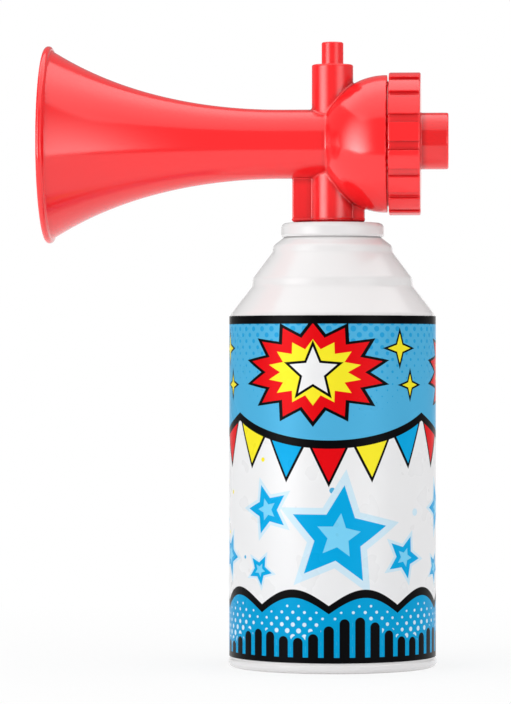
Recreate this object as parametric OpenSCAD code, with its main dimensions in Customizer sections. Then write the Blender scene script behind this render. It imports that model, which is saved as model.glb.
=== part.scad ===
// Hand-held gas air horn: a stepped-shoulder aerosol can with its valve, and a one-piece
// moulded horn head that snaps into the valve cup. Pressing the button pushes a rod through
// the throat of the horn onto the valve stem, and the gas then drives a diaphragm behind the dome.
// Millimetres. +Z is up the can, the horn points along -X, and the origin is under the can's centre.

/* [Can] */
// Outer diameter of the can's wall
can_d = 65.6; // [60:0.1:72]
// Thickness of the can's wall
can_wall = 0.6; // [0.4:0.05:0.8]
// Height at which the wall turns into the shoulder
side_h = 112.25; // [90:0.25:140]
// How far the bead round the base stands out from the wall
base_bead = 0.45; // [0.3:0.05:1]
// Height of the bead round the base
base_bead_h = 2.4; // [2:0.1:4]
// Middle diameter of the ring that the can stands on
foot_d = 59; // [54:0.5:60]
// Width of the flat on that ring
foot_w = 3; // [2:0.5:4]
// Depth of the domed-in base
base_dome_h = 7; // [4:0.5:10]
// Slope of the shoulder's two cones above level, in degrees
shoulder_slope = 52; // [45:1:60]
// Diameter of the lower step of the shoulder
lower_step_d = 51.6; // [47:0.2:55]
// Height of the lower step
lower_step_h = 2.6; // [1.5:0.1:4]
// Diameter of the upper step of the shoulder
upper_step_d = 38.7; // [37:0.1:42]
// Height of the upper step
upper_step_h = 2.1; // [1.5:0.1:4]
// Height of the short cone that leads up to the valve cup
neck_cone_h = 2.9; // [2:0.1:4]
// Thickness of the printed label
label_t = 0.12; // [0.08:0.02:0.3]
// Bare wall left above and below the label
label_margin = 0.5; // [0.2:0.1:3]

/* [Valve] */
// Outer diameter of the valve cup's rim
cup_d = 33; // [32:0.1:35]
// Height of the valve cup's rim
rim_h = 4.5; // [4.3:0.1:6]
// Thickness of the valve cup's sheet
cup_t = 0.5; // [0.3:0.05:0.6]
// Width of the valve cup's rim, from its outside to its recess
rim_w = 4.3; // [3.9:0.1:4.8]
// Depth of the recess below the rim
cup_depth = 8.5; // [8:0.1:10]
// Diameter of the pedestal in the middle of the recess
pedestal_d = 11.4; // [11:0.1:13]
// How far the pedestal's top lies below the rim
pedestal_drop = 3.3; // [3:0.1:4]
// Thickness of the gasket under the rim
cup_gasket_t = 0.5; // [0.3:0.1:0.8]
// Outer diameter of the valve stem
stem_d = 4; // [3.6:0.1:4.4]
// Diameter of the gas way in the stem
stem_bore_d = 2; // [1.2:0.1:2.4]
// How far the stem stands up above the pedestal
stem_rise = 7.2; // [6.8:0.1:9]
// Thickness of the gasket round the stem
stem_gasket_t = 1; // [0.6:0.1:1.4]
// Diameter of the flange that keeps the stem in
stem_flange_d = 5.8; // [5.4:0.1:6]
// Inner diameter of the valve housing
housing_bore_d = 6.6; // [6.4:0.1:7]
// Length of the valve housing below its gasket
housing_len = 15; // [14:0.5:20]
// Wire of the valve spring
valve_wire_d = 0.6; // [0.4:0.05:0.7]
// Turns of the valve spring
valve_turns = 6; // [4:1:7]

/* [Horn] */
// Height of the horn's axis above the valve cup's rim
horn_rise = 25.25; // [25:0.05:32]
// Distance from the can's axis to the mouth of the horn
horn_reach = 92.1; // [70:0.1:120]
// Diameter of the mouth over its lip
mouth_d = 63.3; // [50:0.1:80]
// Diameter of the rounded lip round the mouth
lip_d = 2.2; // [1.8:0.1:3]
// Outer diameter of the horn's straight tube
tube_d = 22.15; // [21:0.05:25]
// Distance from the can's axis to the start of the flare
flare_start = 16.2; // [15:0.2:30]
// Thickness of the horn's wall
horn_wall = 2; // [1.4:0.1:2.4]
// Diameter of the bore at the diaphragm
throat_d = 9; // [7:0.2:10]
// Thickness of the wall round that bore
nozzle_wall = 2; // [1.4:0.1:3]

/* [Column] */
// Outer diameter of the upright column
column_d = 13.3; // [12.6:0.1:15]
// Height of the column's top above the horn's axis
column_rise = 25.4; // [24:0.2:34]
// Diameter of the gas space in the foot of the column
gas_bore_d = 8.4; // [8.2:0.1:8.8]
// Diameter of the gas way from the column to the diaphragm's chamber
port_d = 3; // [2:0.1:3.4]
// Thickness of the webs beside the column
web_t = 4; // [2.5:0.1:6]
// Reach of the web under the horn
front_web = 12.8; // [9:0.1:13]
// Reach of the web under the dome
back_web = 10.3; // [8:0.1:12]

/* [Dome and cap] */
// Outer diameter of the dome
dome_d = 44; // [42.6:0.1:44.6]
// Distance from the can's axis to the dome's open edge
dome_x = 17.6; // [17:0.1:20]
// Straight stretch at the dome's open edge
dome_edge = 0.3; // [0.2:0.1:1.5]
// Outer diameter of the collar that the cap screws onto
collar_d = 41.2; // [40.6:0.1:41.6]
// Inner diameter of that collar
collar_bore_d = 36.8; // [35:0.2:37.4]
// Outer diameter of the cap over its ribs
cap_d = 45.7; // [45.2:0.1:48]
// Length of the cap without its stub
cap_w = 10.1; // [9:0.1:13]
// Gap between the dome and the cap
cap_gap = 0.5; // [0.3:0.1:0.8]
// Thickness of the cap's end wall
cap_end_t = 2; // [1.5:0.1:3]
// Number of grip flutes round the cap
flutes = 16; // [10:1:20]
// Width of one flute
flute_w = 2.6; // [1.5:0.1:4]
// Depth of one flute
flute_depth = 1.1; // [0.4:0.05:1.2]
// Diameter of the stub behind the cap
stub_d = 18.1; // [12:0.1:22]
// Length of that stub
stub_len = 8.9; // [6:0.1:14]
// Height of the stub's axis above the cap's axis
stub_lift = 0.9; // [0:0.1:1.5]
// Diameter of the vent in the stub
vent_d = 3; // [2:0.1:3.6]
// Thickness of the diaphragm
diaphragm_t = 0.3; // [0.2:0.05:0.5]
// Thickness of the diaphragm's gasket
seat_gasket_t = 0.8; // [0.5:0.1:1.2]
// Thickness of the ring that clamps the diaphragm
clamp_t = 1.2; // [0.8:0.1:1.6]

/* [Button] */
// Diameter of the push button
button_d = 7; // [6.6:0.1:7.6]
// Height of the button above the column
button_rise = 7.2; // [6:0.1:12]
// Travel of the button
travel = 3; // [2:0.1:3.2]
// Diameter of the push rod
rod_d = 3; // [2.4:0.1:3.2]
// Wire of the button spring
button_wire_d = 0.5; // [0.4:0.05:0.55]
// Turns of the button spring
button_turns = 3.5; // [2.5:0.5:4]

/* [Hidden] */
$fn = 96;

// Clearances: a running fit, a seated face, the label's glue, a piece laid in its recess, a head at rest
run_fit = 0.08;
seat_gap = 0.05;
glue_gap = 0.1;
loose_fit = 0.25;
rest_gap = 0.3;
// Overshoot of a cut past the face that it opens
cut = 1;

// Heights up the can
can_r = can_d / 2;
base_r = can_r + base_bead;
lower_step_r = lower_step_d / 2;
upper_step_r = upper_step_d / 2;
step_draft = 0.2;
foot_in_r = foot_d / 2 - foot_w / 2;
foot_setback = 0.6;
label_bottom_z = base_bead_h + base_bead + label_margin;
label_top_z = side_h - label_margin;
lower_step_z = side_h + (can_r - lower_step_r) * tan(shoulder_slope);
upper_cone_z = lower_step_z + lower_step_h;
upper_step_z = upper_cone_z + (lower_step_r - upper_step_r) * tan(shoulder_slope);
neck_cone_z = upper_step_z + upper_step_h;
rim_bottom_z = neck_cone_z + neck_cone_h;
rim_z = rim_bottom_z + rim_h;
pedestal_z = rim_z - pedestal_drop;
stem_z = pedestal_z + stem_rise;
horn_z = rim_z + horn_rise;
column_z = horn_z + column_rise;

// The can's curl inside the rim of the valve cup
cup_r = cup_d / 2;
recess_r = cup_r - rim_w;
channel_in_r = recess_r + cup_t;
channel_out_r = cup_r - cup_t;
curl_mid_r = (channel_in_r + channel_out_r) / 2;
curl_r = (channel_out_r - channel_in_r) / 2 - loose_fit;
curl_z = rim_z - cup_t - cup_gasket_t - curl_r - seat_gap;
neck_r = curl_mid_r + can_wall / 2;

// The clinch that holds the cup in the neck, and the head's snap bead in it
clinch_bulge = 0.9;
clinch_drop = 4.6;
clinch_h = 2.8;
clinch_flat = 0.8;
clinch_r = recess_r + clinch_bulge;
clinch_top_z = rim_z - clinch_drop;
clinch_mid_z = clinch_top_z - clinch_h / 2;

// The valve under the pedestal
stem_r = stem_d / 2;
stem_gasket_z = pedestal_z - cup_t - stem_gasket_t;
housing_r = pedestal_d / 2 - cup_t - loose_fit;
housing_bottom_z = stem_gasket_z - housing_len;
housing_floor_t = 1.6;
housing_floor_z = housing_bottom_z + housing_floor_t;
stem_flange_t = 2;
stem_flange_z = stem_gasket_z - seat_gap - stem_flange_t;

// The socket on the stem, and the gas space that it slides in
gas_r = gas_bore_d / 2;
rod_r = rod_d / 2;
socket_depth = 3.5;
socket_roof_t = 1.6;
gas_way_d = 1.6;
gas_way_wall = 0.45;
rod_grip = 2.4;
socket_floor_z = stem_z + seat_gap;
socket_bottom_z = socket_floor_z - socket_depth;
piston_top_z = socket_floor_z + socket_roof_t;
gas_way_z = piston_top_z + gas_way_wall + gas_way_d / 2;
rod_bottom_z = gas_way_z + gas_way_d / 2 + gas_way_wall;
socket_top_z = rod_bottom_z + rod_grip;
head_foot_drop = 2.2;
head_foot_z = rim_z - head_foot_drop;

// The rod's seal under the horn's bore, with the port just below its bush
tube_r = tube_d / 2;
seal_section = 1.5;
seal_gland_z = horn_z - tube_r + seal_section;
bush_t = 2.4;
bush_z = seal_gland_z - seal_section - seat_gap - bush_t;
port_z = bush_z - seat_gap - port_d / 2;

// The button in the top of the column
button_r = button_d / 2;
well_floor_t = 1.5;
pressed_spring_h = 2;
rod_in_button = 5;
button_well_z = horn_z + tube_r + well_floor_t;
button_bottom_z = button_well_z + travel + pressed_spring_h;
button_top_z = column_z + button_rise;
rod_top_z = button_bottom_z + rod_in_button;

// Lengths along the horn, from the can's axis towards the cap
dome_r = dome_d / 2;
dome_mid_x = dome_x - dome_edge;
collar_r = collar_d / 2;
collar_bore_r = collar_bore_d / 2;
cap_r = cap_d / 2;
cap_x = dome_x + cap_gap;
cap_end_x = cap_x + cap_w;
cap_floor_x = cap_end_x - cap_end_t;
clamp_x = cap_floor_x - clamp_t - seat_gap;
diaphragm_x = clamp_x - diaphragm_t - seat_gap;
seat_gasket_x = diaphragm_x - seat_gasket_t - seat_gap;
collar_x = seat_gasket_x - seat_gap;
seat_ring_inset = 0.2;
seat_ring_in_r = collar_bore_r + seat_ring_inset;
seat_ring_out_r = collar_r - seat_ring_inset;
throat_r = throat_d / 2;
nozzle_r = throat_r + nozzle_wall;
throat_lead = 1.5;
bulkhead_lead = 0.6;
taper_x = column_d / 2 + throat_lead;
chamber_x = column_d / 2 + bulkhead_lead;
stub_r = stub_d / 2;
stub_wall = 2;
stub_end_x = cap_end_x + stub_len;

// The horn's flare is a hyperbolic cosine from the straight tube to the mouth
lip_r = lip_d / 2;
flare_end = horn_reach - lip_r;
lip_proud = 0.8;
flare_end_r = mouth_d / 2 - lip_proud;
flare_ratio = flare_end_r / tube_r;
flare_scale = (flare_end - flare_start) / ln(flare_ratio + sqrt(flare_ratio * flare_ratio - 1));
flare_steps = 18;
function cosh(x) = (exp(x) + exp(-x)) / 2;
function flare_r(reach) = tube_r * cosh((reach - flare_start) / flare_scale);
function flare(thickness, stop) = [for (i = [0 : flare_steps])
    let (reach = flare_start + (stop - flare_start) * i / flare_steps)
    [flare_r(reach) - thickness, -reach]];

// Lines with rounded corners: a point is [radius, height, corner radius]
function unit(v) = v / norm(v);
function flat(p) = [p[0], p[1]];
function left_of(v) = [-v[1], v[0]];
function turn(a, b, c) = let (u = b - a, v = c - b) sign(u[0] * v[1] - u[1] * v[0]);
function reversed(list) = [for (i = [len(list) - 1 : -1 : 0]) list[i]];
function corner(a, b, c, r, steps) = let (
        u = unit(a - b), v = unit(c - b),
        half = acos(max(-1, min(1, u * v))) / 2,
        middle = b + unit(u + v) * r / sin(half),
        from = b + u * r / tan(half) - middle,
        swing = turn(a, b, c) * (180 - 2 * half))
    [for (i = [0 : steps]) let (t = swing * i / steps)
        middle + [from[0] * cos(t) - from[1] * sin(t), from[0] * sin(t) + from[1] * cos(t)]];
function rounded(line, steps = 5) = [for (i = [0 : len(line) - 1])
    let (r = line[i][2] == undef ? 0 : line[i][2])
    each r > 0 && i > 0 && i < len(line) - 1
        ? corner(flat(line[i - 1]), flat(line[i]), flat(line[i + 1]), r, steps)
        : [flat(line[i])]];
// The same line moved to its left, so that the two enclose a sheet of that thickness
function moved(line, t) = let (last = len(line) - 1, p = [for (q = line) flat(q)])
    [for (i = [0 : last])
        let (before = left_of(unit(i == 0 ? p[1] - p[0] : p[i] - p[i - 1])),
             after = left_of(unit(i == last ? p[last] - p[last - 1] : p[i + 1] - p[i])),
             side = i == 0 || i == last ? 0 : turn(p[i - 1], p[i], p[i + 1]),
             r = line[i][2] == undef ? 0 : line[i][2],
             place = p[i] + (before + after) * t / (1 + before * after))
        [place[0], place[1], r > 0 ? max(0, r - side * t) : 0]];
module revolved(points) rotate_extrude() polygon(points);
module sheet(line, t) revolved(concat(rounded(line), reversed(rounded(moved(line, t)))));
module ring(in_r, out_r, z, h)
    translate([0, 0, z]) difference() {
        cylinder(r = out_r, h = h);
        translate([0, 0, -cut]) cylinder(r = in_r, h = h + 2 * cut);
    }
// Puts what is drawn round Z onto the horn's axis, with Z turned to +X
module on_horn() translate([0, 0, horn_z]) rotate([0, 90, 0]) children();

// A coil of round wire with level ends, as one tube swept along a helix
coil_sides = 6;
coil_rings = 10;
module coil(mid_r, wire_d, z0, z1, turns) {
    rings = round(turns * coil_rings);
    wire_r = wire_d / 2;
    low = z0 + wire_r;
    rise = z1 - z0 - wire_d;
    points = [for (i = [0 : rings]) let (a = 360 * turns * i / rings, z = low + rise * i / rings)
        each [for (k = [0 : coil_sides - 1]) let (b = 360 * k / coil_sides, r = mid_r + wire_r * cos(b))
            [r * cos(a), r * sin(a), z + wire_r * sin(b)]]];
    sides = [for (i = [0 : rings - 1], k = [0 : coil_sides - 1])
        let (a = i * coil_sides + k, b = i * coil_sides + (k + 1) % coil_sides)
        each [[a, a + coil_sides, b], [b, a + coil_sides, b + coil_sides]]];
    first = [for (k = [1 : coil_sides - 2]) [0, k, k + 1]];
    end = rings * coil_sides;
    last = [for (k = [1 : coil_sides - 2]) [end, end + k + 1, end + k]];
    polyhedron(points, concat(sides, first, last));
    echo(coil_gap = rise / turns - wire_d);
}

// Aluminium can drawn in one piece: domed base, straight wall, stepped shoulder and curled neck
function base_dome(steps = 8) = let (
        r = (foot_in_r * foot_in_r + base_dome_h * base_dome_h) / (2 * base_dome_h),
        swing = asin(foot_in_r / r))
    [for (i = [0 : steps - 1]) let (a = swing * i / steps) [r * sin(a), base_dome_h - r + r * cos(a)]];
module can_body() color("whitesmoke") {
    foot_round = 0.8;
    base_round = 1.3;
    bead_round = 0.3;
    shoulder_round = 3;
    step_round = 1;
    line = concat(base_dome(), [
        [foot_in_r, 0, foot_round],
        [base_r - foot_setback, 0, base_round],
        [base_r, base_bead_h / 2, bead_round],
        [base_r, base_bead_h, bead_round],
        [can_r, base_bead_h + base_bead, bead_round],
        [can_r, side_h, shoulder_round],
        [lower_step_r, lower_step_z, step_round],
        [lower_step_r - step_draft, upper_cone_z, step_round],
        [upper_step_r, upper_step_z, step_round],
        [upper_step_r - step_draft, neck_cone_z, step_round],
        [channel_out_r - loose_fit, rim_bottom_z, bead_round],
        [neck_r, rim_bottom_z + neck_cone_h / 2, bead_round],
        [neck_r, curl_z]]);
    sheet(line, can_wall);
    translate([0, 0, curl_z]) rotate_extrude() translate([curl_mid_r, 0]) circle(r = curl_r);
}

// Printed film wrapped round the straight wall
module can_label() color("deepskyblue")
    ring(can_r + glue_gap, can_r + glue_gap + label_t, label_bottom_z, label_top_z - label_bottom_z);

// Lacquered valve cup: a rim crimped over the can's curl, a recess and a pedestal for the valve
rim_round = 1.7;
module valve_cup() color("white") {
    clinch_round = 0.3;
    recess_round = 0.8;
    pedestal_draft = 0.3;
    line = [
        [cup_r, rim_bottom_z],
        [cup_r, rim_z, rim_round],
        [recess_r, rim_z, recess_round],
        [recess_r, clinch_top_z, clinch_round],
        [clinch_r, clinch_mid_z + clinch_flat / 2, clinch_round],
        [clinch_r, clinch_mid_z - clinch_flat / 2, clinch_round],
        [recess_r, clinch_top_z - clinch_h, clinch_round],
        [recess_r, rim_z - cup_depth, recess_round],
        [pedestal_d / 2 + pedestal_draft, rim_z - cup_depth, recess_round],
        [pedestal_d / 2, pedestal_z, recess_round],
        [stem_r + loose_fit, pedestal_z]];
    sheet(line, cup_t);
}

// Soft ring between the can's curl and the rim
module cup_gasket() color("dimgray") {
    inset = (channel_out_r - channel_in_r) / 5;
    bottom_z = rim_z - cup_t - cup_gasket_t;
    ring(channel_in_r + inset, cup_r - rim_round, bottom_z, cup_gasket_t - seat_gap / 2);
}

// Plastic cup under the pedestal that holds the stem and its spring
module valve_housing() color("ivory") {
    wall = 0.8;
    body_r = housing_bore_d / 2 + wall;
    flange_h = 3;
    orifice_r = 0.8;
    nose = 1;
    revolved([
        [orifice_r, housing_bottom_z],
        [body_r - nose, housing_bottom_z],
        [body_r, housing_bottom_z + nose],
        [body_r, stem_gasket_z - seat_gap - flange_h - (housing_r - body_r)],
        [housing_r, stem_gasket_z - seat_gap - flange_h],
        [housing_r, stem_gasket_z - seat_gap],
        [housing_bore_d / 2, stem_gasket_z - seat_gap],
        [housing_bore_d / 2, housing_floor_z],
        [orifice_r, housing_floor_z]]);
}

// Rubber ring that the stem slides through
module stem_gasket() color("dimgray")
    ring(stem_r + seat_gap, housing_r, stem_gasket_z, stem_gasket_t - seat_gap);

// Hollow stem: gas passes a side hole once the hole is pushed below the gasket
module valve_stem() color("ivory") {
    hole_d = 0.9;
    hole_z = stem_gasket_z + stem_gasket_t / 2;
    tail_r = 1.5;
    tail_h = 4;
    difference() {
        union() {
            translate([0, 0, stem_flange_z]) cylinder(r = stem_r, h = stem_z - stem_flange_z);
            translate([0, 0, stem_flange_z]) cylinder(d = stem_flange_d, h = stem_flange_t);
            translate([0, 0, stem_flange_z - tail_h]) cylinder(r = tail_r, h = tail_h);
        }
        translate([0, 0, hole_z]) cylinder(d = stem_bore_d, h = stem_z - hole_z + cut);
        translate([0, 0, hole_z]) rotate([0, 90, 0]) cylinder(d = hole_d, h = stem_r + cut, $fn = 24);
    }
}

// Steel spring that shuts the valve
module valve_spring() color("silver")
    coil(stem_flange_d / 2 - valve_wire_d / 2 - run_fit, valve_wire_d,
         housing_floor_z + seat_gap, stem_flange_z - seat_gap, valve_turns);

// One red moulding: horn, upright column, dome, cap collar, webs and the snap skirt in the valve cup
module horn_shell() {
    // The lip is rolled back past its top, and its back slopes down onto the flare
    lip_roll = 60;
    lip_steps = 8;
    lip = [for (i = [0 : lip_steps]) let (a = 90 + lip_roll - (180 + lip_roll) * i / lip_steps)
        [mouth_d / 2 - lip_r + lip_r * sin(a), -flare_end - lip_r * cos(a)]];
    on_horn() revolved(concat(
        [[0, dome_mid_x], [tube_r, dome_mid_x]], flare(0, flare_end - lip_d), lip, [[0, -flare_end]]));
    on_horn() translate([0, 0, dome_mid_x]) difference() {
        sphere(r = dome_r);
        cylinder(r = dome_r + cut, h = dome_r + cut);
    }
    on_horn() translate([0, 0, dome_mid_x]) cylinder(r = dome_r, h = dome_edge);
    on_horn() translate([0, 0, dome_mid_x]) cylinder(r = collar_r, h = collar_x - dome_mid_x);
}
module column_shell() {
    column_round = 0.6;
    revolved(rounded([
        [0, head_foot_z], [column_d / 2, head_foot_z],
        [column_d / 2, column_z, column_round], [0, column_z]]));
    web_z = rim_z + rest_gap;
    bevel = 0.8;
    rotate([90, 0, 0]) translate([0, 0, -web_t / 2]) linear_extrude(web_t) polygon([
        [-front_web + bevel / 2, web_z], [-front_web, web_z + bevel], [-front_web, horn_z],
        [back_web, horn_z], [back_web, web_z + bevel], [back_web - bevel / 2, web_z]]);
}
module snap_skirt() {
    skirt_r = recess_r - loose_fit;
    bead_r = (recess_r + clinch_r) / 2;
    wall = 1.6;
    lead_in = 0.4;
    bead_half = clinch_flat / 4;
    bead_slope = 0.6;
    skirt_end_z = clinch_mid_z - bead_half - 2 * lead_in;
    roof_z = rim_z - rest_gap;
    revolved([
        [0, head_foot_z], [skirt_r - wall, head_foot_z], [skirt_r - wall, skirt_end_z],
        [skirt_r - lead_in, skirt_end_z], [bead_r, clinch_mid_z - bead_half],
        [bead_r, clinch_mid_z + bead_half], [skirt_r, clinch_mid_z + bead_half + bead_slope],
        [skirt_r, roof_z], [0, roof_z]]);
}
module horn_body() color("red") difference() {
    union() {
        horn_shell();
        column_shell();
        snap_skirt();
    }
    // Bore of the horn, from the diaphragm's seat through the throat to the mouth
    on_horn() revolved(concat(
        [[0, diaphragm_x + cut], [throat_r, diaphragm_x + cut], [throat_r, taper_x]],
        flare(horn_wall, flare_end), [[flare_end_r - horn_wall, -horn_reach - cut], [0, -horn_reach - cut]]));
    // Chamber round the nozzle, which ends just short of the diaphragm
    on_horn() difference() {
        union() {
            intersection() {
                translate([0, 0, dome_x]) sphere(r = collar_bore_r);
                translate([0, 0, chamber_x]) cylinder(r = dome_r, h = dome_x - chamber_x);
            }
            translate([0, 0, dome_x - seat_gap])
                cylinder(r = collar_bore_r, h = collar_x - dome_x + seat_gap + cut);
        }
        cylinder(r = nozzle_r, h = diaphragm_x - seat_gap);
    }
    // Well of the button, and the rod's hole across the throat
    translate([0, 0, button_well_z]) cylinder(r = button_r + run_fit, h = column_z - button_well_z + cut);
    translate([0, 0, bush_z]) cylinder(r = rod_r + run_fit, h = button_well_z - bush_z + cut);
    // Gland of the rod's seal, gas space and port
    translate([0, 0, bush_z]) cylinder(r = rod_r + seal_section + run_fit, h = seal_gland_z - bush_z);
    translate([0, 0, head_foot_z - cut])
        cylinder(r = gas_r, h = bush_z + bush_t + seat_gap - head_foot_z + cut);
    translate([0, 0, port_z]) rotate([0, 90, 0]) cylinder(d = port_d, h = dome_mid_x);
}

// Rubber ring on the collar's end
module seat_gasket() color("dimgray")
    on_horn() ring(seat_ring_in_r, seat_ring_out_r, seat_gasket_x, seat_gasket_t);

// Thin disc that beats against the nozzle
module diaphragm() color("gainsboro")
    on_horn() translate([0, 0, diaphragm_x]) cylinder(r = seat_ring_out_r, h = diaphragm_t);

// Slip ring that presses on the diaphragm, so that the turning cap doesn't rub it
module clamp_ring() color("ivory")
    on_horn() ring(seat_ring_in_r, seat_ring_out_r, clamp_x, clamp_t);

// Screw cap with grip flutes and a hollow vented stub behind
module diaphragm_cap() color("red") on_horn() difference() {
    cap_round = 0.4;
    stub_round = 0.6;
    union() {
        revolved(rounded([
            [0, cap_x], [cap_r, cap_x, cap_round], [cap_r, cap_end_x, cap_round], [0, cap_end_x]]));
        translate([-stub_lift, 0, 0]) revolved(rounded([
            [0, cap_floor_x], [stub_r, cap_floor_x], [stub_r, stub_end_x, stub_round], [0, stub_end_x]]));
    }
    translate([0, 0, cap_x - cut]) cylinder(r = collar_r + run_fit, h = cap_floor_x - cap_x + cut);
    translate([-stub_lift, 0, cap_floor_x - cut]) {
        cylinder(r = stub_r - stub_wall, h = stub_end_x - stub_wall - cap_floor_x + cut);
        cylinder(d = vent_d, h = stub_end_x - cap_floor_x + 2 * cut);
    }
    // One flute lies just under the middle of the cap's -Y side
    flute_drop = 4.2;
    for (i = [0 : flutes - 1])
        rotate([0, 0, flute_drop - 90 + 360 * i / flutes])
            translate([cap_r - flute_depth, -flute_w / 2, cap_x - cut])
                cube([flute_depth + cut, flute_w, cap_w + 2 * cut]);
}

// Push button with a blind hole for the rod
module push_button() color("red") difference() {
    button_round = 0.6;
    revolved(rounded([
        [0, button_bottom_z], [button_r, button_bottom_z],
        [button_r, button_top_z, button_round], [0, button_top_z]]));
    translate([0, 0, button_bottom_z - cut])
        cylinder(r = rod_r + seat_gap, h = rod_in_button + seat_gap + cut);
}

// Spring under the button
module button_spring() color("silver")
    coil(button_r - button_wire_d / 2 - run_fit, button_wire_d,
         button_well_z + seat_gap, button_bottom_z - seat_gap, button_turns);

// Steel rod that crosses the throat from the button to the socket
module push_rod() color("silver")
    translate([0, 0, rod_bottom_z]) cylinder(r = rod_r, h = rod_top_z - rod_bottom_z);

// Rubber ring round the rod
module rod_seal() color("dimgray")
    translate([0, 0, seal_gland_z - seal_section / 2 - seat_gap / 2]) rotate_extrude()
        translate([rod_r + seal_section / 2 + seat_gap, 0]) circle(d = seal_section - seat_gap, $fn = 24);

// Plain bush that keeps the rod's seal in its gland
module seal_bush() color("ivory")
    ring(rod_r + run_fit, gas_r - seat_gap, bush_z, bush_t);

// Socket that fits over the stem, with a gas way out of its side
seal_groove_h = 1.7;
seal_groove_depth = 1.5;
seal_groove_drop = 1.2;
seal_groove_r = gas_r - seal_groove_depth;
seal_groove_z = socket_floor_z - seal_groove_drop;
module stem_socket() color("ivory") {
    boss_wall = 1.1;
    boss_r = rod_r + boss_wall;
    piston_r = gas_r - run_fit;
    difference() {
        revolved([
            [0, socket_bottom_z], [piston_r, socket_bottom_z], [piston_r, seal_groove_z],
            [seal_groove_r, seal_groove_z], [seal_groove_r, seal_groove_z + seal_groove_h],
            [piston_r, seal_groove_z + seal_groove_h], [piston_r, piston_top_z],
            [boss_r, piston_top_z], [boss_r, socket_top_z], [0, socket_top_z]]);
        translate([0, 0, socket_bottom_z - cut]) cylinder(r = stem_r + seat_gap, h = socket_depth + cut);
        translate([0, 0, socket_floor_z - cut]) cylinder(d = gas_way_d, h = gas_way_z - socket_floor_z + cut);
        translate([0, 0, gas_way_z]) rotate([0, 90, 0]) cylinder(d = gas_way_d, h = gas_r, $fn = 24);
        translate([0, 0, rod_bottom_z - seat_gap])
            cylinder(r = rod_r + seat_gap, h = rod_grip + seat_gap + cut);
    }
}

// Rubber ring in the socket's groove
module socket_seal() color("dimgray")
    ring(seal_groove_r + seat_gap, gas_r - seat_gap, seal_groove_z + seat_gap, seal_groove_h - 2 * seat_gap);

can_body();
can_label();
valve_cup();
cup_gasket();
valve_housing();
stem_gasket();
valve_stem();
valve_spring();
horn_body();
seat_gasket();
diaphragm();
clamp_ring();
diaphragm_cap();
push_button();
button_spring();
push_rod();
rod_seal();
seal_bush();
stem_socket();
socket_seal();
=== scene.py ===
import itertools
import math

import bpy
import numpy as np
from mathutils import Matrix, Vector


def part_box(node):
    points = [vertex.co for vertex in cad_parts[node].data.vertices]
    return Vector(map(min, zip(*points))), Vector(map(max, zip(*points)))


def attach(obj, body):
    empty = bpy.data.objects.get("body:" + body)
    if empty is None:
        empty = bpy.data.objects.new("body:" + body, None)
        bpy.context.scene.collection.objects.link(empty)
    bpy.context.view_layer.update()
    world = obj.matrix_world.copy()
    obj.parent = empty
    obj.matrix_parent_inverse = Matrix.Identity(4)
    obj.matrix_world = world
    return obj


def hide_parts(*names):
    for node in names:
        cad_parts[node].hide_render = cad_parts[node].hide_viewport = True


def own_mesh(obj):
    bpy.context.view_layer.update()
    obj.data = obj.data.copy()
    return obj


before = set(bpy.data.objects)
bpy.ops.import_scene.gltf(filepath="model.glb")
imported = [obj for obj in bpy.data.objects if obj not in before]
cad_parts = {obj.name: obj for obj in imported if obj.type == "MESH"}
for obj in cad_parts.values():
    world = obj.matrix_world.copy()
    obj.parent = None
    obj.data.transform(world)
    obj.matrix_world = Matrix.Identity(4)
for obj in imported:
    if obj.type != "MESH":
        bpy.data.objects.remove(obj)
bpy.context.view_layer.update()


# The can: a seamless aluminium aerosol can, drawn and ironed in one piece. Its base is domed in and
# beaded, its shoulder is pressed in two steps, and its neck is curled to take the valve. White gloss
# lacquer all over.
MM = 0.001


def srgb(red, green, blue):
    """A colour as a screen shows it, from 0 to 255, as the shader's linear colour."""
    share = [c / 255 for c in (red, green, blue)]
    return [c / 12.92 if c < 0.04045 else ((c + 0.055) / 1.055) ** 2.4 for c in share] + [1]


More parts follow.
